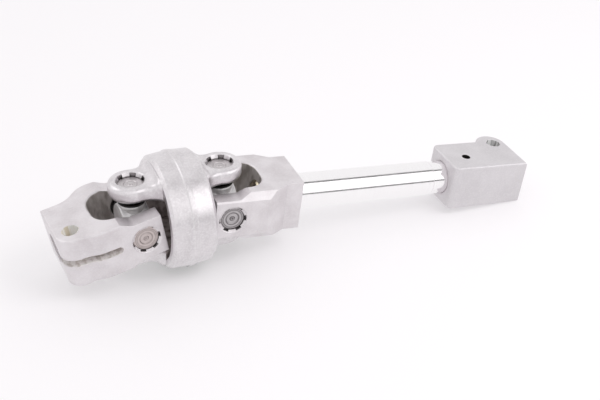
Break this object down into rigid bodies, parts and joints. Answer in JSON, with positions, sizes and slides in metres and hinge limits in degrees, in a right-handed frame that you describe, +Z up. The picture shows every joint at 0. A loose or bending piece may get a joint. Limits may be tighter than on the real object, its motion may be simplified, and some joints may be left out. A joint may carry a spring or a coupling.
{
  "type": "steering universal joint",
  "caption": "Double steering universal joint: clamp yoke, centre ring and shaft yoke on two crosses, with a bright steel shaft ending in a clamp block.",
  "frame": {"origin": "centre of the part's box on the surface it lies on", "axes": "+X along the centre ring's axis from the clamp yoke to the shaft and block, +Z up, +Y away from the slit side of the clamp yoke"},
  "size_m": [0.2996, 0.068, 0.068],
  "materials": {
    "coated_forging": "zinc flake coating, matt silver",
    "ring_forging": "blasted forging with a zinc flake coating",
    "block_forging": "zinc flake coating, matt silver",
    "ground_shaft": "ground bright steel",
    "cross_steel": "forged and ground steel",
    "drawn_cup": "drawn steel, satin",
    "needle_steel": "polished steel rollers",
    "seal_rubber": "black nitrile rubber"
  },
  "bodies": {
    "centre": {"centre_ring": "ring_forging", "clamp_top_cup": "drawn_cup", "clamp_top_needles": "needle_steel", "clamp_bottom_cup": "drawn_cup", "clamp_bottom_needles": "needle_steel", "shaft_top_cup": "drawn_cup", "shaft_top_needles": "needle_steel", "shaft_bottom_cup": "drawn_cup", "shaft_bottom_needles": "needle_steel"},
    "shaft_spider": {"shaft_cross": "cross_steel", "shaft_top_seal": "seal_rubber", "shaft_bottom_seal": "seal_rubber", "shaft_front_seal": "seal_rubber", "shaft_back_seal": "seal_rubber"},
    "shaft_side": {"shaft_yoke": "coated_forging", "steering_shaft": "ground_shaft", "end_block": "block_forging", "shaft_front_cup": "drawn_cup", "shaft_front_needles": "needle_steel", "shaft_back_cup": "drawn_cup", "shaft_back_needles": "needle_steel"},
    "clamp_spider": {"clamp_cross": "cross_steel", "clamp_top_seal": "seal_rubber", "clamp_bottom_seal": "seal_rubber", "clamp_front_seal": "seal_rubber", "clamp_back_seal": "seal_rubber"},
    "clamp_side": {"clamp_yoke": "coated_forging", "clamp_front_cup": "drawn_cup", "clamp_front_needles": "needle_steel", "clamp_back_cup": "drawn_cup", "clamp_back_needles": "needle_steel"}
  },
  "joints": [
    {"name": "shaft_cross_swivel", "type": "hinge", "parent": "centre", "child": "shaft_spider", "pos_m": [-0.0499, 0, 0.034], "axis": [0, 0, 1], "range_deg": [-22.1, 27.9]},
    {"name": "shaft_yoke_tilt", "type": "hinge", "parent": "shaft_spider", "child": "shaft_side", "pos_m": [-0.0499, 0, 0.034], "axis": [0.0506, 0.9987, 0], "range_deg": [-30.77, 19.23]},
    {"name": "clamp_cross_swivel", "type": "hinge", "parent": "centre", "child": "clamp_spider", "pos_m": [-0.1022, 0, 0.034], "axis": [0, 0, 1], "range_deg": [-27.1, 22.9]},
    {"name": "clamp_yoke_tilt", "type": "hinge", "parent": "clamp_spider", "child": "clamp_side", "pos_m": [-0.1022, 0, 0.034], "axis": [-0.0366, 0.9993, 0], "range_deg": [-15.2, 34.8]}
  ]
}
